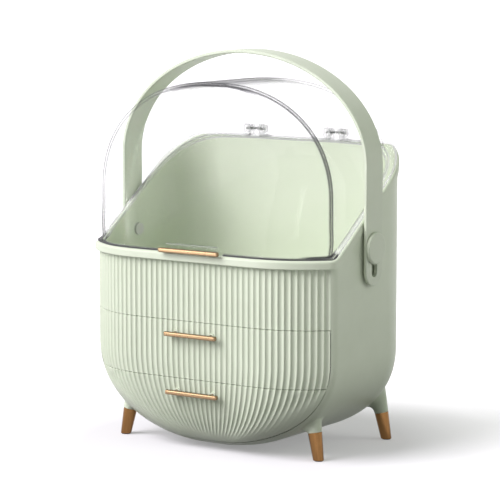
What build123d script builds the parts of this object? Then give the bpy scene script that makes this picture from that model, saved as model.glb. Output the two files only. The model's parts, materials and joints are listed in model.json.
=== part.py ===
from build123d import *
import os
from math import asin, atan2, cos, pi, sin, sqrt, tan

# Makeup organizer: a round-bottomed case on four legs with a fluted bow front, two drawers,
# an open top bin with a sloping rim, a clear lid hinged at the back and a strap handle.
# Sizes are in millimetres. The front faces -Y, the floor is at z = 0, and the origin is
# under the middle of the whole object.

# Body outline seen from above
half_width = 133.5
body_depth = 173.7
front_flat_half = 64.0
front_radius = 90.0
front_corner_radius = 12.0
back_corner_radius = 49.0

# Bowl-shaped lower body
bowl_top = 93.5
bowl_low = 4.1
bowl_side_power = 2.2
bowl_round_power = 2.1
bowl_set_back = 41.8
bowl_front_power = 2.3
bowl_end = 0.985
bowl_steps = (0.0, 0.15, 0.3, 0.45, 0.6, 0.74, 0.85, 0.93, bowl_end)
least_corner = 1.0

# Flutes on the front
flute_count = 46
flute_depth = 1.35
flute_least_depth = 0.05
flute_crest = 0.9
flute_crest_drop = 0.12
flute_end_margin = 0.11
flute_full_margin = 0.25
flute_margin_run = 25.0
edge_bevel = 0.5

# Heights of the seams
bin_seam_z = 123.6
drawer_seam_z = 69.5
seam_gap = 0.45
panel_margin = 5.0
panel_end_trim = 0.2
window_steps = 12

# Walls
housing_wall = 2.8
bin_wall = 3.2
bin_floor = 3.0
tray_wall = 1.8
tray_floor = 2.0
panel_thickness = 3.0
panel_section_step = 5.5
panel_section_power = 1.3

# Rim and lip of the top bin
rim_front_z = 186.4
rim_back_z = 280.0
rim_slope_start = 34.2
rim_slope_end = 7.5
rim_front_fillet = 18.0
rim_back_fillet = 12.0
lip_height = 7.8
lip_front_overhang = 3.8
lip_side_overhang = 1.2
lip_back_overhang = 3.3
lip_corner_radius = 10.0
lip_top_round = 2.0
lip_low_round = 1.0
lip_face_tilt = 0.3

# Clear lid
lid_half_width = 129.3
lid_spring_z = 237.4
lid_top_z = 341.0
lid_power = 2.19
lid_wall = 2.2
lid_arch_set_back = 33.4
lid_front_bulge = 36.0
lid_bulge_power = 1.6
lid_bow_power = 6.5
lid_low_z = 176.0
lid_back_inset = 8.0
lid_back_round = 38.0
lid_gap = 0.4
lid_flange_thickness = 1.6
lid_flange_inset = 2.2
lid_pad_inset = 0.4
lid_flange_back_space = 0.6
lid_arch_steps = 16
lid_side_steps = 3
lid_bow_points = 6
lid_back_points = 9
lid_plan_power = 7.0
lid_pad_height = 6.4

# Lid hinges
hinge_half_spacing = 46.0
hinge_inset = 3.0
hinge_z = 288.0
hinge_knuckle_radius = 4.0
hinge_pin_radius = 1.25
hinge_post_width = 12.0
hinge_ear_width = 5.0
hinge_plate_thickness = 2.0
hinge_plate_width = 30.0
hinge_screw_radius = 1.2
hinge_screw_head_radius = 2.2
hinge_screw_head_height = 1.0
hinge_screw_length = 7.5
hinge_screw_offset = 10.0
pin_running_gap = 0.05
moving_gap = 0.4

# Carry handle
handle_inner_half_width = 135.4
handle_thickness = 3.2
handle_width = 28.0
handle_spring_z = 266.7
handle_top_z = 369.0
handle_y_from_front = 90.2
handle_edge_round = 0.8
pivot_z = 192.0
leg_below_pivot = 34.5
lift_travel = 22.0

# Handle pivots
bush_radius = 4.5
slot_gap = 0.1
button_radius = 14.7
button_thickness = 3.0
button_edge_round = 1.6
stud_radius = 3.0
stud_head_radius = 6.0
stud_head_thickness = 2.0
stud_in_button = 1.2

# Drawers
tray_back_space = 14.0
upper_tray_inset = 12.0
upper_tray_low_z = 72.6
upper_tray_high_z = 118.0
upper_rail_z = 84.0
lower_tray_inset = 12.0
lower_tray_low_z = 12.5
lower_tray_high_z = 64.0
lower_rail_z = 56.0
tray_front_gap = 0.8
rail_height = 4.0
rail_side_gap = 0.8
rail_front_space = 36.0
flange_front_space = 40.0
flange_back_space = 30.0
flange_thickness = 2.0
flange_edge_gap = 4.4
opening_gap = 0.45
opening_depth = 34.0
divider_thickness = 2.0
divider_front_space = 14.0

# Pulls
drawer_pull_length = 58.0
lid_pull_length = 66.5
pull_bar_depth = 4.4
pull_bar_height = 4.4
pull_bar_round = 1.4
pull_bar_hole = 2.0
drawer_pull_stand_off = 3.0
lid_pull_stand_off = 1.9
pull_post_inset = 9.0
pull_post_wall = 1.0
pull_pad_radius = 3.4
pull_pad_depth = 2.0
drawer_pull_screw_radius = 1.2
lid_pull_screw_radius = 0.7
pull_screw_head_wall = 1.0
pull_screw_head_height = 1.2
mounting_boss_radius = 4.0
mounting_boss_depth = 3.8
upper_pull_z = 111.0
lower_pull_z = 56.3
lid_pull_z = 188.7
lid_screw_seat_depth = 2.6

# Legs
leg_x = 110.0
leg_front_space = 41.9
leg_back_space = 13.1
leg_splay_x = 0.19
leg_splay_y = 0.05
tip_bottom_radius = 4.9
tip_top_radius = 6.6
tip_low_z = 0.8
tip_top_z = 26.0
leg_top_z = 62.0
leg_top_radius = 8.6
leg_blend_radius = 7.0
spigot_radius = 3.2
spigot_length = 12.0
spigot_end_gap = 0.3
pad_radius = 3.9
pad_recess_z = 2.6

# Screws that hold the top bin on the housing
boss_radius = 3.7
boss_height = 16.0
boss_rear_x = 78.0
boss_side_space = 70.0
bin_screw_radius = 1.5
bin_screw_head_radius = 2.8
bin_screw_head_height = 1.6
bin_screw_length = 10.0

# The origin is in the middle between the lid pull and the back of the lip.
lid_pull_reach = lip_front_overhang - lid_pad_inset + lid_pull_stand_off + pull_bar_depth
overall_depth = lid_pull_reach + body_depth + lip_back_overhang
front_y = lid_pull_reach - overall_depth / 2
back_y = front_y + body_depth
arch_y = front_y + lid_arch_set_back
lid_back_y = back_y - lid_back_inset
hinge_y = back_y - hinge_inset
lip_flat_back_y = back_y + lip_back_overhang - lip_top_round
hinge_screw_y = (back_y - bin_wall + lip_flat_back_y) / 2
handle_y = front_y + handle_y_from_front
handle_outer_half_width = handle_inner_half_width + handle_thickness
far = 400.0
lid_pull_seat_y = front_y - lip_front_overhang + lid_pad_inset

parts = {}


def turn_angle(width, radius, corner):
    """Angle at which the front arc hands over to the small corner arc."""
    return asin((width - front_flat_half - corner) / (radius - corner))


front_turn = turn_angle(half_width, front_radius, front_corner_radius)
half_front_run = front_flat_half + front_radius * front_turn
flute_pitch = 2 * half_front_run / flute_count
front_edge_x = front_flat_half + front_radius * sin(front_turn)
lower_panel_low_z = bowl_low + panel_margin - edge_bevel


def signed_power(value, power):
    """A power of a value's size with the value's own sign."""
    return abs(value) ** power * (1 if value >= 0 else -1)


def box_between(x_range, y_range, z_range):
    """A box given by its low and high corners."""
    size = [b - a for a, b in (x_range, y_range, z_range)]
    middle = [(a + b) / 2 for a, b in (x_range, y_range, z_range)]
    return Pos(*middle) * Box(*size)


def span(side, near, far_end):
    """Range in X from near to far_end, mirrored for the left side."""
    return sorted((side * near, side * far_end))


def cylinder_x(radius, x_range, y, z):
    """A round bar along X."""
    length = x_range[1] - x_range[0]
    return Pos((x_range[0] + x_range[1]) / 2, y, z) * Rot(0, 90, 0) * Cylinder(radius, length)


def cylinder_y(radius, x, y_range, z):
    """A round bar along Y."""
    length = y_range[1] - y_range[0]
    return Pos(x, (y_range[0] + y_range[1]) / 2, z) * Rot(90, 0, 0) * Cylinder(radius, length)


def cylinder_z(radius, x, y, z_range):
    """A round bar along Z."""
    length = z_range[1] - z_range[0]
    return Pos(x, y, (z_range[0] + z_range[1]) / 2) * Cylinder(radius, length)


def bowl_scale(z, inset=0.0):
    """Width factor and set-back of the body at a height."""
    if z >= bowl_top:
        return 1.0, 0.0
    low = bowl_low + inset
    u = min((bowl_top - z) / (bowl_top - low), bowl_end)
    factor = (1 - u ** bowl_side_power) ** (1 / bowl_round_power)
    set_back = bowl_set_back * (1 - (1 - u ** bowl_front_power) ** (1 / bowl_front_power))
    return factor, set_back


def outline(z, width, front, back, radius, corner, back_corner, turn, factor=1.0, front_edges=None):
    """Closed outline of a bow-fronted plan at a height, as a wire."""
    flat = front_flat_half * factor
    width = width * factor
    radius = radius * factor
    corner = corner * factor
    back_corner = back_corner * factor
    middle_turn = (turn + pi / 2) / 2
    arc_end = (flat + radius * sin(turn), front + radius * (1 - cos(turn)), z)
    arc_middle = (flat + radius * sin(turn / 2), front + radius * (1 - cos(turn / 2)), z)
    corner_x = flat + (radius - corner) * sin(turn)
    corner_y = front + radius - (radius - corner) * cos(turn)
    corner_middle = (corner_x + corner * sin(middle_turn), corner_y - corner * cos(middle_turn), z)
    side_start = (width, corner_y, z)
    side_end = (width, back - back_corner, z)
    bend = back_corner * (1 - cos(pi / 4))
    back_middle = (width - bend, back - bend, z)
    back_start = (width - back_corner, back, z)

    def mirror_x(point):
        return (-point[0], point[1], point[2])

    right = [
        ThreePointArc(arc_end, corner_middle, side_start),
        Line(side_start, side_end),
        ThreePointArc(side_end, back_middle, back_start),
    ]
    left = [
        ThreePointArc(mirror_x(back_start), mirror_x(back_middle), mirror_x(side_end)),
        Line(mirror_x(side_end), mirror_x(side_start)),
        ThreePointArc(mirror_x(side_start), mirror_x(corner_middle), mirror_x(arc_end)),
    ]
    if front_edges is None:
        front_edges = [
            ThreePointArc(mirror_x(arc_end), mirror_x(arc_middle), (-flat, front, z)),
            Line((-flat, front, z), (flat, front, z)),
            ThreePointArc((flat, front, z), arc_middle, arc_end),
        ]
    return Wire(front_edges + right + [Line(back_start, mirror_x(back_start))] + left)


def body_outline(z, inset=0.0, front_inset=None):
    """Smooth outline of the body at a height, moved inwards by an inset."""
    front_inset = inset if front_inset is None else front_inset
    factor, set_back = bowl_scale(z, inset)
    return outline(
        z, half_width - inset, front_y + front_inset + set_back, back_y - inset - set_back,
        front_radius - inset, max(front_corner_radius - inset, least_corner), back_corner_radius - inset,
        front_turn, factor,
    )


def body_solid(inset=0.0, high=bin_seam_z, front_inset=None):
    """The whole lower body as one solid, moved inwards by an inset."""
    low = bowl_low + inset
    levels = [bowl_top - (bowl_top - low) * u for u in bowl_steps]
    wires = [body_outline(z, inset, front_inset) for z in levels]
    bowl = Solid.make_loft(wires[::-1])
    return bowl + extrude(Face(wires[0]), high - bowl_top)


def front_point(run, factor, set_back, inset=0.0):
    """Point on the front, and the way out from it, for a run from the middle."""
    side = 1 if run >= 0 else -1
    if abs(run) <= front_flat_half:
        return (run * factor, front_y + inset + set_back), (0.0, -1.0)
    radius = front_radius - inset
    angle = (abs(run) - front_flat_half) / front_radius
    x = (front_flat_half + radius * sin(angle)) * factor
    y = front_y + inset + set_back + radius * (1 - cos(angle)) * factor
    return (side * x, y), (side * sin(angle), -cos(angle))


def flute_fade(x, z):
    """Share of the flute depth that is left near the round edge of the lower front."""
    if z >= drawer_seam_z:
        return 1.0
    across = (abs(x) / half_width) ** bowl_round_power
    down = ((bowl_top - z) / (bowl_top - bowl_low)) ** bowl_side_power
    inside = 1 - sqrt(min(across + down, 1.0))
    ramp = min((drawer_seam_z - z) / flute_margin_run, 1.0)
    start = flute_end_margin * ramp
    share = (inside - start) / ((flute_full_margin - flute_end_margin) * ramp + least_corner / half_width)
    return min(max(share, 0.0), 1.0)


def flute_edges(z, sunk=0.0, level=None):
    """The fluted front from left to right: a hollow arc for each flute, a crest between two."""
    factor, set_back = bowl_scale(z)
    level = z if level is None else level

    def at(run, depth):
        point, out = front_point(run, factor, set_back)
        inward = max(flute_fade(point[0], z) * depth, flute_least_depth * min(depth, 1.0)) * factor + sunk
        return (point[0] - out[0] * inward, point[1] - out[1] * inward, level)

    edges = []
    for i in range(flute_count):
        start = -half_front_run + i * flute_pitch
        crest_start = at(start, 0.0) if i == 0 else at(start - flute_crest / 2, flute_crest_drop)
        crest_end = at(start + flute_crest / 2, flute_crest_drop)
        hollow_end = at(start + flute_pitch - flute_crest / 2, flute_crest_drop)
        if i == 0:
            edges.append(Line(crest_start, crest_end))
        else:
            edges.append(ThreePointArc(crest_start, at(start, 0.0), crest_end))
        edges.append(ThreePointArc(crest_end, at(start + flute_pitch / 2, flute_depth), hollow_end))
    edges.append(Line(edges[-1] @ 1, at(half_front_run, 0.0)))
    return edges


def panel_wire(z, sunk=0.0):
    """Section of a drawer front at a height: flutes outside, smooth inside."""
    factor, set_back = bowl_scale(z)
    outside = flute_edges(z, sunk)

    def inside_at(run):
        point, _ = front_point(run, factor, set_back, panel_thickness)
        return (point[0], point[1], z)

    turn_run = half_front_run - front_flat_half
    runs = (half_front_run, half_front_run - turn_run / 2, front_flat_half)
    inner = [
        ThreePointArc(inside_at(runs[0]), inside_at(runs[1]), inside_at(runs[2])),
        Line(inside_at(runs[2]), inside_at(-runs[2])),
        ThreePointArc(inside_at(-runs[2]), inside_at(-runs[1]), inside_at(-runs[0])),
    ]
    right_end = Line(outside[-1] @ 1, inside_at(half_front_run))
    left_end = Line(inside_at(-half_front_run), outside[0] @ 0)
    return Wire(outside + [right_end] + inner + [left_end])


def drawer_panel(low, high):
    """A drawer front between two heights, with its top edge bevelled."""
    top = high - edge_bevel
    curved_top = min(top, bowl_top)
    steps = max(round((curved_top - low) / panel_section_step), 2)
    levels = [low + (curved_top - low) * (i / steps) ** panel_section_power for i in range(steps + 1)]
    panel = Solid.make_loft([panel_wire(z) for z in levels])
    if top > bowl_top:
        panel += extrude(Face(panel_wire(bowl_top)), top - bowl_top)
    panel += Solid.make_loft([panel_wire(top), panel_wire(high, edge_bevel)], ruled=True)
    return panel & window(0.0, opening_depth)


def window(grow, depth):
    """The drawers' place in the front as a block: straight sides over a round lower edge."""
    half = front_edge_x - panel_end_trim + grow
    low = bowl_low + panel_margin - grow
    angles = [pi * i / (2 * window_steps) for i in range(2 * window_steps + 1)]
    points = [
        (
            half * signed_power(cos(t), 2 / bowl_round_power), 0,
            bowl_top - (bowl_top - low) * signed_power(sin(t), 2 / bowl_side_power),
        )
        for t in angles
    ]
    curve = Spline(points, tangents=[(0, 0, -1), (0, 0, 1)])
    top = bin_seam_z + 1
    left = Line(curve @ 1, (-half, 0, top))
    top_line = Line((-half, 0, top), (half, 0, top))
    right = Line((half, 0, top), curve @ 0)
    face = Face(Wire([curve, left, top_line, right]))
    return extrude(Pos(0, front_y - 1, 0) * face, depth + 1, dir=(0, 1, 0))


def boss_places():
    """Centre and direction to the wall of the four bosses under the top bin."""
    side_x = half_width - housing_wall - boss_radius
    rear_y = back_y - housing_wall - boss_radius
    side_y = front_y + boss_side_space
    return [
        (-boss_rear_x, rear_y, 0, 1), (boss_rear_x, rear_y, 0, 1),
        (-side_x, side_y, -1, 0), (side_x, side_y, 1, 0),
    ]


def screw_boss(x, y, out_x, out_y):
    """Screw boss that grows out of the wall under the bin seam."""
    z_range = (bin_seam_z - boss_height, bin_seam_z)
    reach = boss_radius + housing_wall / 2
    x_range = sorted((x - boss_radius * abs(out_y), x + boss_radius * abs(out_y) + out_x * reach))
    y_range = sorted((y - boss_radius * abs(out_x), y + boss_radius * abs(out_x) + out_y * reach))
    return cylinder_z(boss_radius, x, y, z_range) + box_between(x_range, y_range, z_range)


def leg_frame(side, y, direction_y):
    """Plane at the foot of a leg, with its Z along the splayed leg."""
    tilt = Vector(-side * leg_splay_x, -direction_y * leg_splay_y, 1)
    return Plane(origin=(side * leg_x, y, 0), z_dir=tilt.normalized(), x_dir=(0, 1, 0))


def leg_frames():
    """The four legs' planes by name."""
    frames = {}
    for side, side_name in ((-1, "left"), (1, "right")):
        frames["front_" + side_name] = leg_frame(side, front_y + leg_front_space, -1)
        frames["back_" + side_name] = leg_frame(side, back_y - leg_back_space, 1)
    return frames


def turned(frame, points):
    """A turned piece from a list of radius and height pairs."""
    profile = make_face(Polyline([(r, 0, z) for r, z in points], close=True))
    return frame * revolve(profile, Axis.Z, 360)


def leg(frame):
    """Leg that reaches up into the round body."""
    return turned(frame, [
        (0, tip_top_z), (tip_top_radius, tip_top_z), (leg_top_radius, leg_top_z), (0, leg_top_z),
    ])


def peg_profile(low):
    """Half section of the peg, and of the bore that it fills, from a low end."""
    high = tip_top_z + 1
    return [(0, low), (spigot_radius, low), (spigot_radius, high), (0, high)]


def leg_spigot(frame):
    """Peg under a leg that carries the metal tip."""
    low = tip_top_z - spigot_length
    return turned(frame, peg_profile(low))


def leg_tip(frame):
    """Tapered metal tip, pushed on the peg and hollow for the pad."""
    tip = turned(frame, [
        (0, -2), (tip_bottom_radius, -2), (tip_bottom_radius, 0),
        (tip_top_radius, tip_top_z), (0, tip_top_z),
    ])
    low = tip_top_z - spigot_length - spigot_end_gap
    bore = turned(frame, peg_profile(low))
    return tip - bore - pad_form(frame) - box_between((-far, far), (-far, far), (-20, tip_low_z))


def pad_form(frame):
    """Round plug in the foot of a tip, longer than the pad."""
    return turned(frame, [(0, -5), (pad_radius, -5), (pad_radius, pad_recess_z), (0, pad_recess_z)])


def leg_pad(frame):
    """Soft pad under a tip, flat on the floor."""
    return pad_form(frame) - box_between((-far, far), (-far, far), (-20, 0))


def body_with_legs():
    """The outer form of the lower body and its legs, blended where they meet."""
    body = body_solid()
    for frame in leg_frames().values():
        joined = body + leg(frame)
        seam = [edge for edge in joined.edges() if is_leg_seam(edge, frame)]
        body = fillet(seam, leg_blend_radius)
    return body


def is_leg_seam(edge, frame):
    """Whether an edge is where this leg meets the body."""
    middle = frame.to_local_coords(edge.center(CenterOf.MASS))
    near_axis = sqrt(middle.X ** 2 + middle.Y ** 2) < leg_top_radius * 2
    return near_axis and edge.center(CenterOf.MASS).Z > tip_top_z + 1


def housing(cavity):
    """Lower shell: side walls, back, round bottom, legs and screw bosses."""
    shell = body_with_legs() - cavity - window(opening_gap, opening_depth)
    for x, y, out_x, out_y in boss_places():
        shell += screw_boss(x, y, out_x, out_y)
        shell -= cylinder_z(bin_screw_radius, x, y, (bin_seam_z - bin_screw_length, bin_seam_z + 1))
    for frame in leg_frames().values():
        shell += leg_spigot(frame)
    return shell


def rim_region(lift):
    """Everything below the sloping rim line, moved outwards from it by a lift."""
    slope = atan2(rim_back_z - rim_front_z, body_depth - rim_slope_start - rim_slope_end)
    start = front_y + rim_slope_start - lift * tan(slope / 2)
    end = back_y - rim_slope_end - lift * tan(slope / 2)
    before = front_y - far
    after = back_y + far
    points = [
        (before, 0), (before, rim_front_z + lift), (start, rim_front_z + lift),
        (end, rim_back_z + lift), (after, rim_back_z + lift), (after, 0),
    ]
    face = make_face(Polyline([(0, y, z) for y, z in points], close=True)).face()
    rounds = (max(rim_front_fillet - lift, least_corner), max(rim_back_fillet + lift, least_corner))
    for corner, radius in zip(points[2:4], rounds):
        vertex = face.vertices().sort_by_distance((0, corner[0], corner[1]))[0]
        face = face.fillet_2d(radius, [vertex])
    return extrude(Pos(-far / 2, 0, 0) * face, far, dir=(1, 0, 0))


def lip_prism(inset=0.0):
    """The lip's outline from above, as a tall prism."""
    width = half_width + lip_side_overhang - inset
    radius = front_radius + lip_front_overhang - inset
    wire = outline(
        bin_seam_z, width, front_y - lip_front_overhang + inset, back_y + lip_back_overhang - inset,
        radius, lip_corner_radius, back_corner_radius + lip_back_overhang - inset,
        turn_angle(width, radius, lip_corner_radius),
    )
    return extrude(Face(wire), far - bin_seam_z)


def boundary(faces):
    """The edges that belong to just one of the faces."""
    edges = [edge for face in faces for edge in face.edges()]
    return [edge for edge in edges if sum(edge.is_same(other) for other in edges) == 1]


def rounded_lip(band):
    """The band of the lip with its outer edges rounded at the top and below."""
    for direction, radius in ((1, lip_top_round), (-1, lip_low_round)):
        faces = [face for face in band.faces() if face.normal_at().Z * direction > lip_face_tilt]
        band = fillet(boundary(faces), radius)
    return band


def fluted_outline(z):
    """The body's outline above the bowl, with the flutes as its front."""
    flutes = flute_edges(bowl_top, 0.0, z)
    return outline(
        z, half_width, front_y, back_y, front_radius, front_corner_radius, back_corner_radius,
        front_turn, 1.0, flutes,
    )


def hinge_screw_places():
    """Centres in X of the screws that hold the hinge posts."""
    return [
        side * hinge_half_spacing + offset
        for side in (-1, 1) for offset in (-hinge_screw_offset, hinge_screw_offset)
    ]


def top_bin():
    """Upper bin with its fluted front, sloping rim and lip."""
    walls = extrude(Face(fluted_outline(bin_seam_z)), far - bin_seam_z) & rim_region(-lip_height / 2)
    band = rounded_lip((lip_prism() & rim_region(0)) - rim_region(-lip_height))
    cavity = extrude(Face(body_outline(bin_seam_z + bin_floor, bin_wall)), far)
    bin_body = walls + band - cavity
    for x, y, _, _ in boss_places():
        bin_body -= cylinder_z(bin_screw_radius, x, y, (bin_seam_z - 1, bin_seam_z + bin_floor + 1))
    for side in (-1, 1):
        x_range = span(side, half_width - bin_wall - 1, half_width + lip_side_overhang + 1)
        bin_body -= cylinder_x(stud_radius + pin_running_gap, x_range, handle_y, pivot_z)
    depth = hinge_screw_length - hinge_plate_thickness
    for x in hinge_screw_places():
        bin_body -= cylinder_z(hinge_screw_radius, x, hinge_screw_y, (rim_back_z - depth, rim_back_z + 1))
    return bin_body


def arch_point(angle, width, spring, top):
    """Point of the lid's arch at an angle from its right foot."""
    x = width * signed_power(cos(angle), 2 / lid_power)
    z = spring + (top - spring) * signed_power(sin(angle), 2 / lid_power)
    return x, z


def lid_section(z, half, bow, length):
    """Level section through the lid: bowed front, straight sides and rounded back corners."""
    shares = [sin(pi / 2 * (i / lid_bow_points - 1)) for i in range(2 * lid_bow_points + 1)]
    front = Spline([(half * u, arch_y - bow * (1 - abs(u) ** lid_bow_power), z) for u in shares])
    angles = [pi * i / (2 * lid_back_points) for i in range(2 * lid_back_points + 1)]
    corner = 2 / lid_plan_power
    back = [
        (half * signed_power(cos(t), corner), arch_y + length * signed_power(sin(t), corner), z)
        for t in angles
    ]
    back[0] = front @ 1
    back[-1] = front @ 0
    return Wire([front, Spline(back, tangents=[(0, 1, 0), (0, -1, 0)])])


def bow_reach(z, depth, top):
    """How far the middle of the lid's front stands before its arch at a height."""
    share = (z - lid_low_z) / (top - lid_low_z)
    return depth * (1 - share ** lid_bulge_power)


def back_reach(z, length, top, radius):
    """How far the lid runs back from its arch at a height."""
    over = max(z - (top - radius), 0.0) / radius
    return length - radius * (1 - sqrt(1 - over ** 2))


def lid_form(inset):
    """The space that the lid encloses, moved inwards by an inset."""
    width = lid_half_width - inset
    top = lid_top_z - inset
    depth = lid_front_bulge - inset
    length = lid_back_y - arch_y - inset
    radius = lid_back_round - inset
    side_step = (lid_spring_z - lid_low_z) / lid_side_steps
    places = [(width, lid_low_z + side_step * i) for i in range(lid_side_steps)]
    places += [
        arch_point(pi / 2 * i / lid_arch_steps, width, lid_spring_z, top)
        for i in range(lid_arch_steps)
    ]
    sections = [
        lid_section(z, half, bow_reach(z, depth, top), back_reach(z, length, top, radius))
        for half, z in places
    ]
    return Solid.make_loft(sections)


def lid_flange():
    """Thin rim of the lid that lies on the bin's lip."""
    flange = lip_prism(lid_flange_inset) & rim_region(lid_gap + lid_flange_thickness)
    flange &= box_between((-far, far), (-far, hinge_y - lid_flange_back_space), (lid_low_z, far))
    for side in (-1, 1):
        reach = hinge_post_width / 2 + moving_gap
        centre = side * hinge_half_spacing
        flange -= box_between((centre - reach, centre + reach), (lid_back_y, far), (lid_low_z, far))
    return flange


def lid_ears():
    """Two hinge ears beside each hinge post."""
    ears = []
    for side in (-1, 1):
        for direction in (-1, 1):
            near = side * hinge_half_spacing + direction * (hinge_post_width / 2 + moving_gap)
            x_range = sorted((near, near + direction * hinge_ear_width))
            z_range = (hinge_z - hinge_knuckle_radius, hinge_z + hinge_knuckle_radius)
            ears.append(cylinder_x(hinge_knuckle_radius, x_range, hinge_y, hinge_z))
            ears.append(box_between(x_range, (lid_back_y - lid_wall / 2, hinge_y), z_range))
    return ears


def lid_shell():
    """Clear lid: bowed front, arched vault, rounded back, rim, pull pad and hinge ears."""
    seat = lid_pull_seat_y
    pad_half = lid_pull_length / 2 - pull_post_inset / 2
    pad = box_between(
        (-pad_half, pad_half), (seat, seat + lid_flange_thickness + 2),
        (lid_low_z, rim_front_z + lid_pad_height),
    )
    lid = lid_form(0.0) + lid_flange() + pad - lid_form(lid_wall) - rim_region(lid_gap)
    for ear in lid_ears():
        lid += ear
    for side in (-1, 1):
        middle = side * hinge_half_spacing
        x_range = (middle - hinge_plate_width / 2, middle + hinge_plate_width / 2)
        lid -= cylinder_x(hinge_pin_radius + pin_running_gap, x_range, hinge_y, hinge_z)
    head_seat = seat + lid_screw_seat_depth
    for x in pull_post_places(lid_pull_length):
        lid -= cylinder_y(lid_pull_screw_radius, x, (seat - 1, head_seat + 1), lid_pull_z)
        head_room = (head_seat, head_seat + 4)
        lid -= cylinder_y(lid_pull_screw_radius + pull_screw_head_wall, x, head_room, lid_pull_z)
    return lid


def hinge_bracket(side):
    """Hinge post on the back of the lip."""
    centre = side * hinge_half_spacing
    x_range = (centre - hinge_post_width / 2, centre + hinge_post_width / 2)
    post_y = (hinge_y - hinge_knuckle_radius, hinge_y + hinge_knuckle_radius)
    post = cylinder_x(hinge_knuckle_radius, x_range, hinge_y, hinge_z)
    post += box_between(x_range, post_y, (rim_back_z, hinge_z))
    plate = box_between(
        (centre - hinge_plate_width / 2, centre + hinge_plate_width / 2),
        (back_y - bin_wall, lip_flat_back_y),
        (rim_back_z, rim_back_z + hinge_plate_thickness),
    )
    bracket = post + plate - cylinder_x(hinge_pin_radius, x_range, hinge_y, hinge_z)
    z_range = (rim_back_z - 1, rim_back_z + hinge_plate_thickness + 1)
    for x in hinge_screw_places():
        bracket -= cylinder_z(hinge_screw_radius, x, hinge_screw_y, z_range)
    return bracket


def hinge_pins():
    """Two steel pins through the ears and posts."""
    half = hinge_post_width / 2 + moving_gap + hinge_ear_width
    return [
        cylinder_x(hinge_pin_radius, (middle - half, middle + half), hinge_y, hinge_z)
        for middle in (-hinge_half_spacing, hinge_half_spacing)
    ]


def screw_down(x, y, seat, shaft_radius, length, head_radius, head_height):
    """A pan-head screw that points down, its head resting at the seat height."""
    head = cylinder_z(head_radius, x, y, (seat, seat + head_height))
    return head + cylinder_z(shaft_radius, x, y, (seat - length, seat + head_height / 2))


def hinge_screws():
    """Four small screws that hold the hinge posts."""
    return [
        screw_down(
            x, hinge_screw_y, rim_back_z + hinge_plate_thickness,
            hinge_screw_radius, hinge_screw_length, hinge_screw_head_radius, hinge_screw_head_height,
        )
        for x in hinge_screw_places()
    ]


def bin_screws():
    """Four screws from the bin floor into the housing bosses."""
    return [
        screw_down(
            x, y, bin_seam_z + bin_floor,
            bin_screw_radius, bin_screw_length, bin_screw_head_radius, bin_screw_head_height,
        )
        for x, y, _, _ in boss_places()
    ]


def carry_handle():
    """Arched strap with a rounded foot and a slot at each end."""
    rise = handle_top_z - handle_spring_z
    ring = Ellipse(handle_outer_half_width, rise)
    ring -= Ellipse(handle_inner_half_width, rise - handle_thickness)
    arch = Pos(0, handle_y, handle_spring_z) * extrude(Plane.XZ * ring, handle_width / 2, both=True)
    strap = arch & box_between((-far, far), (-far, far), (handle_spring_z, far))
    foot_centre = pivot_z - leg_below_pivot + handle_width / 2
    y_range = (handle_y - handle_width / 2, handle_y + handle_width / 2)
    for side in (-1, 1):
        x_range = span(side, handle_inner_half_width, handle_outer_half_width)
        strap += box_between(x_range, y_range, (foot_centre, handle_spring_z))
        strap += cylinder_x(handle_width / 2, x_range, handle_y, foot_centre)
    long_edges = [edge for edge in strap.edges() if edge.length > handle_width]
    strap = fillet(long_edges, handle_edge_round)
    slot = bush_radius + slot_gap
    slot_low = pivot_z - lift_travel
    for side in (-1, 1):
        x_range = span(side, handle_inner_half_width - 1, handle_outer_half_width + 1)
        strap -= cylinder_x(slot, x_range, handle_y, slot_low)
        strap -= cylinder_x(slot, x_range, handle_y, pivot_z)
        strap -= box_between(x_range, (handle_y - slot, handle_y + slot), (slot_low, pivot_z))
    return strap


def pivot_stud(side):
    """Steel stud that turns in the bin wall, with its head inside the bin."""
    head_end = half_width - bin_wall - moving_gap
    tip = handle_outer_half_width + moving_gap + stud_in_button
    head_range = span(side, head_end - stud_head_thickness, head_end)
    head = cylinder_x(stud_head_radius, head_range, handle_y, pivot_z)
    return head + cylinder_x(stud_radius, span(side, head_end - 1, tip), handle_y, pivot_z)


def pivot_bush(side):
    """Bush that turns with the stud and slides in the handle's slot."""
    x_range = span(side, half_width + moving_gap, handle_outer_half_width + moving_gap)
    bush = cylinder_x(bush_radius, x_range, handle_y, pivot_z)
    return bush - cylinder_x(stud_radius, x_range, handle_y, pivot_z)


def pivot_button(side):
    """Round cap that keeps the handle on its bush."""
    start = handle_outer_half_width + moving_gap
    cap = cylinder_x(button_radius, span(side, start, start + button_thickness), handle_y, pivot_z)
    rims = cap.edges().filter_by(GeomType.CIRCLE).sort_by(Axis.X)
    cap = fillet([rims[-1] if side > 0 else rims[0]], button_edge_round)
    return cap - cylinder_x(stud_radius, span(side, start, start + stud_in_button), handle_y, pivot_z)


def pull_post_places(length):
    """Where a pull's two posts stand along its bar."""
    half = length / 2 - pull_post_inset
    return (-half, half)


def pull(length, z, seat_y, stand_off, screw_radius):
    """Bar pull with two posts that stand on the surface at seat_y."""
    back = seat_y - stand_off
    half_height = pull_bar_height / 2
    bar = box_between(
        (-length / 2, length / 2), (back - pull_bar_depth, back), (z - half_height, z + half_height)
    )
    bar = fillet(bar.edges(), pull_bar_round)
    for x in pull_post_places(length):
        bar += cylinder_y(screw_radius + pull_post_wall, x, (back - pull_bar_hole, seat_y), z)
        bar -= cylinder_y(screw_radius, x, (back - pull_bar_hole, seat_y), z)
    return bar


def pull_screws(length, z, seat_y, stand_off, head_seat_y, screw_radius):
    """Screws from the inside into a pull's posts."""
    tip = seat_y - stand_off - pull_bar_hole
    head_end = head_seat_y + pull_screw_head_height
    return [
        cylinder_y(screw_radius, x, (tip, head_end), z)
        + cylinder_y(screw_radius + pull_screw_head_wall, x, (head_seat_y, head_end), z)
        for x in pull_post_places(length)
    ]


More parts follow.
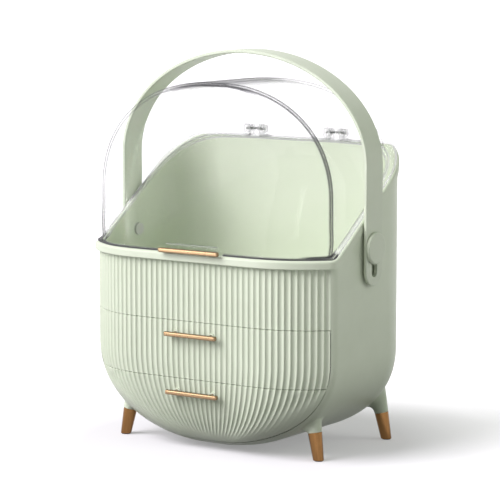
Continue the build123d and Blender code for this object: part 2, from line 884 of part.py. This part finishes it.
def tray_front_seat(inset, pull_z):
    """Plane in Y where a tray's mounting bosses meet those of its front."""
    front_inset = panel_thickness + tray_front_gap
    return front_y + front_inset + bowl_scale(pull_z + mounting_boss_radius, inset)[1]


def tray_half_width(inset, z):
    """Half width of a tray at a height."""
    return (half_width - inset) * bowl_scale(z, inset)[0]


def tray(inset, low, high, rail_z, pull_z):
    """Open tray that follows the body's form, with a sliding flange on each side."""
    back = back_y - tray_back_space
    front_inset = panel_thickness + tray_front_gap

    def form(grow, z_low, z_high):
        solid = body_solid(inset + grow, bin_seam_z + 1, front_inset + grow)
        return solid & box_between((-far, far), (-far, back - grow), (z_low, z_high))

    shell = form(0, low, high)
    flange_z = rail_z + rail_height + moving_gap
    room = body_solid(housing_wall + flange_edge_gap, bin_seam_z)
    flange = box_between(
        (-far, far), (front_y + flange_front_space, back - flange_back_space),
        (flange_z, flange_z + flange_thickness),
    )
    shell += flange & room
    seat = tray_front_seat(inset, pull_z)
    for x in pull_post_places(drawer_pull_length):
        shell += cylinder_y(mounting_boss_radius, x, (seat, seat + mounting_boss_depth), pull_z)
    hollow = form(tray_wall, low + tray_floor, high + 1)
    for x in pull_post_places(drawer_pull_length):
        hollow -= cylinder_y(mounting_boss_radius, x, (seat, seat + mounting_boss_depth), pull_z)
    shell -= hollow
    return drilled(shell, pull_z, seat + mounting_boss_depth)


def drawer_front(low, high, inset, pull_z):
    """Drawer front with flat pads for the pull and bosses for the tray."""
    panel = drawer_panel(low, high)
    seat = tray_front_seat(inset, pull_z)
    pad = pull_seat_y(pull_z)
    for x in pull_post_places(drawer_pull_length):
        panel += cylinder_y(pull_pad_radius, x, (pad, pad + pull_pad_depth), pull_z)
        panel += cylinder_y(mounting_boss_radius, x, (pad + pull_pad_depth, seat), pull_z)
    return drilled(panel, pull_z, seat + 1)


def pull_seat_y(pull_z):
    """Plane in Y that a drawer pull stands on."""
    return front_y + bowl_scale(pull_z + pull_pad_radius)[1]


def drilled(piece, pull_z, end):
    """The piece with the two screw holes of a drawer pull."""
    for x in pull_post_places(drawer_pull_length):
        piece -= cylinder_y(drawer_pull_screw_radius, x, (front_y - 1, end + 1), pull_z)
    return piece


def rails(inset, rail_z, cavity):
    """Two rails on the housing walls that carry a tray's flanges."""
    flange_top = rail_z + rail_height + moving_gap + flange_thickness
    near = tray_half_width(inset, flange_top) + rail_side_gap
    y_range = (front_y + rail_front_space, back_y - back_corner_radius)
    return [
        box_between(span(side, near, half_width), y_range, (rail_z, rail_z + rail_height)) & cavity
        for side in (-1, 1)
    ]


def drawer_divider():
    """Shelf between the two drawers."""
    room = body_solid(housing_wall, bin_seam_z, divider_front_space)
    z_range = (drawer_seam_z - divider_thickness / 2, drawer_seam_z + divider_thickness / 2)
    return room & box_between((-far, far), (-far, far), z_range)


def make_case():
    """Housing, top bin and what is fixed to them."""
    cavity = body_solid(housing_wall, bin_seam_z + 1)
    parts["drawer_housing"] = housing(cavity)
    parts["drawer_divider"] = drawer_divider()
    parts["top_bin"] = top_bin()
    parts["bin_screws"] = bin_screws()
    parts["upper_drawer_rails"] = rails(upper_tray_inset, upper_rail_z, cavity)
    parts["lower_drawer_rails"] = rails(lower_tray_inset, lower_rail_z, cavity)
    parts["hinge_screws"] = hinge_screws()
    parts["hinge_pins"] = hinge_pins()
    for side, name in ((-1, "left"), (1, "right")):
        parts["hinge_bracket_" + name] = hinge_bracket(side)
    for name, frame in leg_frames().items():
        parts["leg_tip_" + name] = leg_tip(frame)
        parts["leg_pad_" + name] = leg_pad(frame)


def make_drawer(name, low, high, inset, tray_low, tray_high, rail_z, pull_z):
    """Front, tray, pull and screws of one drawer."""
    seat = pull_seat_y(pull_z)
    head_seat = tray_front_seat(inset, pull_z) + mounting_boss_depth
    stand_off = drawer_pull_stand_off
    radius = drawer_pull_screw_radius
    length = drawer_pull_length
    parts[name + "_drawer_front"] = drawer_front(low, high, inset, pull_z)
    parts[name + "_drawer_tray"] = tray(inset, tray_low, tray_high, rail_z, pull_z)
    parts[name + "_drawer_pull"] = pull(length, pull_z, seat, stand_off, radius)
    parts[name + "_pull_screws"] = pull_screws(length, pull_z, seat, stand_off, head_seat, radius)


def make_lid():
    """Clear lid with its pull."""
    seat = lid_pull_seat_y
    stand_off = lid_pull_stand_off
    radius = lid_pull_screw_radius
    parts["lid_shell"] = lid_shell()
    parts["lid_pull"] = pull(lid_pull_length, lid_pull_z, seat, stand_off, radius)
    parts["lid_pull_screws"] = pull_screws(
        lid_pull_length, lid_pull_z, seat, stand_off, seat + lid_screw_seat_depth, radius
    )


def make_handle():
    """Carry handle with its studs, bushes and buttons."""
    parts["carry_handle"] = carry_handle()
    for side, name in ((-1, "left"), (1, "right")):
        parts["pivot_stud_" + name] = pivot_stud(side)
        parts["pivot_bush_" + name] = pivot_bush(side)
        parts["pivot_button_" + name] = pivot_button(side)


def write():
    """One STEP file for each node."""
    os.makedirs("parts", exist_ok=True)
    for name, shape in parts.items():
        pieces = shape if isinstance(shape, list) else [shape]
        solids = [solid for piece in pieces for solid in piece.solids()]
        export_step(solids[0] if len(solids) == 1 else Compound(solids), "parts/" + name + ".step")
        print(name, len(solids), round(sum(solid.volume for solid in solids)))


make_case()
make_drawer(
    "upper", drawer_seam_z + seam_gap / 2, bin_seam_z - seam_gap, upper_tray_inset,
    upper_tray_low_z, upper_tray_high_z, upper_rail_z, upper_pull_z,
)
make_drawer(
    "lower", lower_panel_low_z, drawer_seam_z - seam_gap / 2, lower_tray_inset,
    lower_tray_low_z, lower_tray_high_z, lower_rail_z, lower_pull_z,
)
make_lid()
make_handle()
write()
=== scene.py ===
import json
import math

import bpy
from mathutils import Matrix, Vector

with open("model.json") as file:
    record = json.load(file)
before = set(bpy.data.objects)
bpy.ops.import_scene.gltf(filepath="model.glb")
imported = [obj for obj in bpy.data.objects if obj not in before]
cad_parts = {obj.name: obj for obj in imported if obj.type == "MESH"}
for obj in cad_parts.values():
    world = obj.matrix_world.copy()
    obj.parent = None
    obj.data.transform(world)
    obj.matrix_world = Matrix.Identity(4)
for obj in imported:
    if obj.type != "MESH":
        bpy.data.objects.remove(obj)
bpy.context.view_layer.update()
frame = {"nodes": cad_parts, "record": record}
nodes = frame["nodes"]

# Camera: place in metres, turn and tilt in degrees, lens and sensor in millimetres
camera_place = (1.287, -1.87115, 0.4731)
camera_azimuth = 34.4
camera_tilt = 7.33
camera_lens = 175.5
sensor_width = 36.0
camera_reach = 100.0

# Lights: places, aims and sizes in metres, spreads in degrees
world_strength = 0.34
key_sun = {
    "towards": (-0.42, -0.62, 0.6), "strength": 4.25, "spread": 46.0, "tint": (1.0, 0.95, 1.04),
}
fill_sun = {
    "towards": (0.8, 0.42, 0.4), "strength": 0.65, "spread": 28.0, "tint": (0.96, 1.0, 0.92),
}
softbox = {"place": (-1.9, -1.4, 2.2), "aim": (0.0, 0.0, 0.2), "size": 1.4, "power": 8.0}
left_card = {"place": (-1.35, -1.95, 0.45), "aim": (0.0, 0.0, 0.15), "size": 1.5, "power": 60.0}
right_card = {"place": (0.9, -1.9, 0.5), "aim": (0.0, 0.0, 0.1), "size": 0.4, "power": 7.0}

# Floor: its glow close by and far off, and the distances in metres between which it changes. The glow
# makes the floor pale, and its weaker part close by is painted shade round the object; close by the
# floor is also painted dark for bounced light
floor_size = 60.0
floor_roughness = 0.9
floor_specular = 0.1
floor_glow_shaded_near = (0.28, 0.6)
floor_glow_shade_reach = (0.15, 0.26)
painted_bounce_shade_reach = (0.2, 0.6)

# Colours as linear red, green, blue and opacity
white = (1.0, 1.0, 1.0, 1.0)
# Painted shade: floor colour close by that only bounced light sees, which darkens the object's
# underside
floor_painted_shade_near = (0.09, 0.09, 0.09, 1.0)
floor_far = (0.57, 0.57, 0.57, 1.0)
mint = (0.57, 0.635, 0.49, 1.0)
mint_deep = (0.54, 0.605, 0.46, 1.0)
mint_inner = (0.59, 0.65, 0.52, 1.0)
mint_inner_deep = (0.565, 0.625, 0.495, 1.0)
mint_handle = (0.55, 0.61, 0.475, 1.0)
mint_handle_deep = (0.52, 0.58, 0.445, 1.0)
clear_tint = (0.97, 0.985, 0.975, 1.0)
# Painted shade: the grey put on the lid's creases and where it turns away from the eye
clear_painted_shade = (0.07, 0.072, 0.072, 1.0)
gold = (0.28, 0.19, 0.112, 1.0)
gold_deep = (0.24, 0.16, 0.09, 1.0)
bronze = (0.27, 0.142, 0.055, 1.0)
bronze_deep = (0.21, 0.105, 0.038, 1.0)
steel_light = (0.62, 0.62, 0.61, 1.0)
steel_dark = (0.45, 0.45, 0.45, 1.0)
rubber_light = (0.05, 0.05, 0.05, 1.0)
rubber_dark = (0.028, 0.028, 0.028, 1.0)

# Noise patterns as scale per metre and detail, and the range that a noise mostly keeps to
plastic_clouds = (26.0, 5.0)
plastic_sheen = (190.0, 3.0)
plastic_grain = (2600.0, 2.0)
clear_sheen = (60.0, 3.0)
clear_waves = (14.0, 2.0)
metal_lines = (900.0, 6.0)
metal_wear = (45.0, 4.0)
rubber_clouds = (350.0, 4.0)
rubber_sheen = (500.0, 4.0)
rubber_pebbles = (1400.0, 4.0)
noise_roughness = 0.55
noise_range = (0.3, 0.7)
line_range = (0.25, 0.75)

# Roughness at the smoothest and the roughest spots
case_roughness = (0.36, 0.46)
inner_roughness = (0.42, 0.52)
handle_roughness = (0.38, 0.48)
clear_roughness = (0.008, 0.02)
gold_roughness = (0.24, 0.32)
tip_roughness = (0.14, 0.2)
steel_roughness = (0.26, 0.4)
rubber_roughness = (0.7, 0.9)

# Relief depths and the radii of softened edges in metres
plastic_grain_depth = 0.000012
clear_wave_depth = 0.00004
metal_line_depth = 0.000015
rubber_pebble_depth = 0.00006
plastic_edge_radius = 0.0004
handle_edge_radius = 0.0005
metal_edge_radius = 0.0003
steel_edge_radius = 0.0001
edge_samples = 4

# Moulded plastic
plastic_ior = 1.49
plastic_specular = 0.3
shiny_coat = 0.1
no_coat = 0.0
coat_roughness = 0.3
plastic_scatter = 0.04
plastic_scatter_reach = (0.002, 0.003, 0.002)

# Clear plastic: what its faces and its edges let through, and where painted shade darkens its creases
# and the faces that turn away
clear_ior = 1.46
clear_opacity = (0.03, 0.95)
clear_specular = 0.5
see_through_until = 0.5
glossy_until = 0.3
crease_radius = 0.0036
crease_samples = 8
crease_turn = (0.9992, 0.99)
crease_shade_share_behind = 0.45
crease_fade = 0.001
arch_place = -0.046
arch_fade = 0.002
pad_half_length = 0.034
pad_top = 0.1934
grazing_range = (0.8, 0.97)
grazing_shade_share = 0.92

# Brushed metal: a small scale draws the lines out along that axis
lines_along_x = (0.03, 1.0, 1.0)
lines_along_z = (1.0, 1.0, 0.03)
short_lines_along_z = (1.0, 1.0, 0.2)


class Graph:
    """A node tree, with short ways to add and join nodes."""

    def __init__(self, tree):
        self.tree = tree

    def add(self, kind, **values):
        """A node with values on its inputs or settings."""
        node = self.tree.nodes.new(kind)
        for key, value in values.items():
            if key in node.inputs:
                node.inputs[key].default_value = value
            else:
                setattr(node, key, value)
        return node

    def link(self, start, end):
        self.tree.links.new(start, end)

    def joined(self, operation, first, second):
        """Two values joined by a mathematical operation."""
        node = self.add("ShaderNodeMath", operation=operation)
        self.link(first, node.inputs[0])
        self.link(second, node.inputs[1])
        return node.outputs[0]

    def background_shows(self):
        """1 for a ray from the eye, off a shiny surface or through a clear one, and otherwise 0."""
        path = self.add("ShaderNodeLightPath")
        shown = self.joined("MAXIMUM", path.outputs["Is Camera Ray"], path.outputs["Is Glossy Ray"])
        return self.joined("MAXIMUM", shown, path.outputs["Is Transmission Ray"])


class Finish(Graph):
    """A material's node tree, with its shader and object coordinates."""

    def __init__(self, name):
        self.material = bpy.data.materials.new(name)
        self.material.use_nodes = True
        super().__init__(self.material.node_tree)
        self.shader = self.tree.nodes["Principled BSDF"]
        self.place = self.add("ShaderNodeTexCoord").outputs["Object"]

    def stretched(self, scale):
        """Object coordinates with another scale along each axis."""
        mapping = self.add("ShaderNodeMapping")
        mapping.inputs["Scale"].default_value = scale
        self.link(self.place, mapping.inputs["Vector"])
        return mapping.outputs["Vector"]

    def noise(self, pattern, place=None):
        """A noise pattern at the object coordinates or at others."""
        scale, detail = pattern
        node = self.add("ShaderNodeTexNoise", Scale=scale, Detail=detail, Roughness=noise_roughness)
        self.link(place or self.place, node.inputs["Vector"])
        return node.outputs["Fac"]

    def ramp(self, source, low, high, low_colour, high_colour):
        """A colour that goes from one to another as the source goes from low to high."""
        node = self.add("ShaderNodeValToRGB")
        node.color_ramp.elements[0].position = low
        node.color_ramp.elements[1].position = high
        node.color_ramp.elements[0].color = low_colour
        node.color_ramp.elements[1].color = high_colour
        self.link(source, node.inputs["Fac"])
        return node.outputs["Color"]

    def between(self, source, start, end, low, high):
        """The source from start to end, mapped to low and high and held there."""
        node = self.add("ShaderNodeMapRange")
        node.inputs["From Min"].default_value = start
        node.inputs["From Max"].default_value = end
        node.inputs["To Min"].default_value = low
        node.inputs["To Max"].default_value = high
        self.link(source, node.inputs["Value"])
        return node.outputs["Result"]

    def rough(self, pattern, roughness):
        """Roughness that a noise pattern varies between two values."""
        self.put("Roughness", self.between(self.noise(pattern), *noise_range, *roughness))

    def relief(self, source, depth, edge_radius=0.0):
        """Fine relief of a depth, over edges softened by a radius."""
        bump = self.add("ShaderNodeBump", Strength=1.0, Distance=depth)
        self.link(source, bump.inputs["Height"])
        if edge_radius:
            bevel = self.add("ShaderNodeBevel", samples=edge_samples, Radius=edge_radius)
            self.link(bevel.outputs["Normal"], bump.inputs["Normal"])
        self.link(bump.outputs["Normal"], self.shader.inputs["Normal"])

    def put(self, name, value):
        """A value or a socket on one input of the shader."""
        socket = self.shader.inputs[name]
        if hasattr(value, "is_linked"):
            self.link(value, socket)
        else:
            socket.default_value = value


def plastic(name, light, deep, roughness, coat, edge_radius):
    """Moulded plastic: faint clouding, uneven sheen and a fine moulded grain."""
    graph = Finish(name)
    clouds = graph.noise(plastic_clouds)
    graph.put("Base Color", graph.ramp(clouds, *noise_range, deep, light))
    graph.rough(plastic_sheen, roughness)
    graph.put("IOR", plastic_ior)
    graph.put("Specular IOR Level", plastic_specular)
    graph.put("Coat Weight", coat)
    graph.put("Coat Roughness", coat_roughness)
    graph.put("Subsurface Weight", plastic_scatter)
    graph.put("Subsurface Radius", plastic_scatter_reach)
    graph.relief(graph.noise(plastic_grain), plastic_grain_depth, edge_radius)
    return graph.material


def painted_crease_shade(graph):
    """Where painted shade goes along the lid's creases: 1 at the front arch, fainter behind it and
    none round the pad.
    """
    bevel = graph.add("ShaderNodeBevel", samples=crease_samples, Radius=crease_radius)
    geometry = graph.add("ShaderNodeNewGeometry")
    turned = graph.add("ShaderNodeVectorMath", operation="DOT_PRODUCT")
    graph.link(bevel.outputs["Normal"], turned.inputs[0])
    graph.link(geometry.outputs["Normal"], turned.inputs[1])
    crease_shade = graph.between(turned.outputs["Value"], *crease_turn, 0.0, 1.0)
    sides = graph.add("ShaderNodeSeparateXYZ")
    graph.link(graph.place, sides.inputs[0])
    across = graph.add("ShaderNodeMath", operation="ABSOLUTE")
    graph.link(sides.outputs["X"], across.inputs[0])
    beside_end = pad_half_length + crease_fade
    beside = graph.between(across.outputs[0], pad_half_length, beside_end, 0.0, 1.0)
    above = graph.between(sides.outputs["Z"], pad_top, pad_top + crease_fade, 0.0, 1.0)
    off_pad = graph.joined("MAXIMUM", beside, above)
    behind = arch_place + arch_fade
    share = graph.between(sides.outputs["Y"], arch_place, behind, 1.0, crease_shade_share_behind)
    return graph.joined("MULTIPLY", crease_shade, graph.joined("MULTIPLY", share, off_pad))


def clear_plastic(name):
    """Polished clear plastic: see-through on its faces, with painted grey shade at creases and where
    it turns away.
    """
    graph = Finish(name)
    facing = graph.add("ShaderNodeLayerWeight", Blend=0.5)
    # Painted shade: grey where the lid turns away and along its creases, standing in for reflection
    # and refraction in its wall
    grazing_painted_shade = graph.between(facing.outputs["Facing"], *grazing_range, 0.0, grazing_shade_share)
    painted_edge_shade = graph.joined("MAXIMUM", painted_crease_shade(graph), grazing_painted_shade)
    graph.put("Base Color", graph.ramp(painted_edge_shade, 0.0, 1.0, clear_tint, clear_painted_shade))
    graph.put("Alpha", graph.between(painted_edge_shade, 0.0, 1.0, *clear_opacity))
    graph.put("Transmission Weight", graph.between(painted_edge_shade, 0.0, see_through_until, 1.0, 0.0))
    graph.put("Specular IOR Level", graph.between(painted_edge_shade, 0.0, glossy_until, clear_specular, 0.0))
    graph.put("IOR", clear_ior)
    graph.rough(clear_sheen, clear_roughness)
    graph.relief(graph.noise(clear_waves), clear_wave_depth)
    return graph.material


def brushed_metal(name, light, deep, line_scale, roughness, edge_radius):
    """Metal with fine brushed lines, which run along the axis of the smallest scale."""
    graph = Finish(name)
    lines = graph.noise(metal_lines, graph.stretched(line_scale))
    graph.put("Base Color", graph.ramp(lines, *line_range, deep, light))
    graph.put("Metallic", 1.0)
    graph.rough(metal_wear, roughness)
    graph.relief(lines, metal_line_depth, edge_radius)
    return graph.material


def soft_rubber(name):
    """Matt rubber with a pebbled surface."""
    graph = Finish(name)
    clouds = graph.noise(rubber_clouds)
    graph.put("Base Color", graph.ramp(clouds, *noise_range, rubber_dark, rubber_light))
    graph.rough(rubber_sheen, rubber_roughness)
    graph.relief(graph.noise(rubber_pebbles), rubber_pebble_depth)
    return graph.material


finishes = {
    "case_plastic": plastic(
        "case_plastic", mint, mint_deep, case_roughness, shiny_coat, plastic_edge_radius
    ),
    "inner_plastic": plastic(
        "inner_plastic", mint_inner, mint_inner_deep, inner_roughness, no_coat, plastic_edge_radius
    ),
    "handle_plastic": plastic(
        "handle_plastic", mint_handle, mint_handle_deep, handle_roughness, shiny_coat,
        handle_edge_radius,
    ),
    "clear_plastic": clear_plastic("clear_plastic"),
    "gold_metal": brushed_metal(
        "gold_metal", gold, gold_deep, lines_along_x, gold_roughness, metal_edge_radius
    ),
    "steel": brushed_metal(
        "steel", steel_light, steel_dark, short_lines_along_z, steel_roughness, steel_edge_radius
    ),
    "soft_rubber": soft_rubber("soft_rubber"),
}
tip_gold = brushed_metal(
    "tip_gold", bronze, bronze_deep, lines_along_z, tip_roughness, metal_edge_radius
)

for subpart in frame["record"]["subparts"]:
    node = nodes[subpart["node"]]
    finish = finishes[subpart["material_slot"]]
    if subpart["node"].startswith("leg_tip"):
        finish = tip_gold
    node.data.materials.clear()
    node.data.materials.append(finish)


def floor():
    """Pale floor that keeps the object's shadow, with painted shade close by: it glows less near the
    object, and a dark colour that only bounced light sees throws little light back up from close by.
    """
    bpy.ops.mesh.primitive_plane_add(size=floor_size, location=(0.0, 0.0, 0.0))
    plane = bpy.context.object
    plane.name = "floor"
    graph = Finish("floor")
    graph.put("Roughness", floor_roughness)
    graph.put("Specular IOR Level", floor_specular)
    graph.put("Emission Color", white)
    shown = graph.background_shows()
    length = graph.add("ShaderNodeVectorMath", operation="LENGTH")
    graph.link(graph.place, length.inputs[0])
    away = length.outputs["Value"]
    # Painted shade under the object: dark close by for bounced light only, while eye, glossy and
    # clear rays see the far colour
    far_share = graph.between(away, *painted_bounce_shade_reach, 0.0, 1.0)
    painted_shade_off = graph.joined("MAXIMUM", shown, far_share)
    graph.put("Base Color", graph.ramp(painted_shade_off, 0.0, 1.0, floor_painted_shade_near, floor_far))
    # Painted shade round the object: the floor glows less close by
    shaded_glow = graph.between(away, *floor_glow_shade_reach, *floor_glow_shaded_near)
    graph.put("Emission Strength", graph.joined("MULTIPLY", shown, shaded_glow))
    plane.data.materials.append(graph.material)


def aimed(name, light, place, aim):
    """A light at a place, turned to a point."""
    holder = bpy.data.objects.new(name, light)
    holder.location = place
    holder.rotation_euler = (Vector(aim) - Vector(place)).to_track_quat("-Z", "Y").to_euler()
    bpy.context.scene.collection.objects.link(holder)
    return holder


def sun(name, towards, strength, spread, tint):
    """Soft even light that comes from one direction, and that shiny surfaces don't mirror."""
    light = bpy.data.lights.new(name, "SUN")
    light.energy = strength
    light.angle = math.radians(spread)
    light.color = tint
    holder = aimed(name, light, towards, (0.0, 0.0, 0.0))
    holder.visible_glossy = False


def area_light(name, place, aim, size, power, lights_matt):
    """A square soft light, or one that shows only in reflections."""
    light = bpy.data.lights.new(name, "AREA")
    light.shape = "SQUARE"
    light.size = size
    light.energy = power
    holder = aimed(name, light, place, aim)
    holder.visible_diffuse = lights_matt


def world_light():
    """Even light all round, and plain white where the background shows."""
    world = bpy.data.worlds.new("studio")
    bpy.context.scene.world = world
    world.use_nodes = True
    world.node_tree.nodes.clear()
    graph = Graph(world.node_tree)
    soft = graph.add("ShaderNodeBackground", Color=white, Strength=world_strength)
    plain = graph.add("ShaderNodeBackground", Color=white, Strength=1.0)
    mix = graph.add("ShaderNodeMixShader")
    output = graph.add("ShaderNodeOutputWorld")
    graph.link(graph.background_shows(), mix.inputs["Fac"])
    graph.link(soft.outputs[0], mix.inputs[1])
    graph.link(plain.outputs[0], mix.inputs[2])
    graph.link(mix.outputs[0], output.inputs["Surface"])


def camera():
    """The camera at the photograph's viewing angle."""
    lens = bpy.data.cameras.new("camera")
    lens.lens = camera_lens
    lens.sensor_width = sensor_width
    lens.clip_end = camera_reach
    holder = bpy.data.objects.new("camera", lens)
    holder.location = camera_place
    tilt = math.pi / 2 - math.radians(camera_tilt)
    holder.rotation_euler = (tilt, 0.0, math.radians(camera_azimuth))
    bpy.context.scene.collection.objects.link(holder)
    bpy.context.scene.camera = holder


bpy.context.scene.view_settings.view_transform = "Standard"
floor()
world_light()
sun("key", **key_sun)
sun("fill", **fill_sun)
area_light("softbox", **softbox, lights_matt=True)
area_light("left_card", **left_card, lights_matt=False)
area_light("right_card", **right_card, lights_matt=False)
camera()
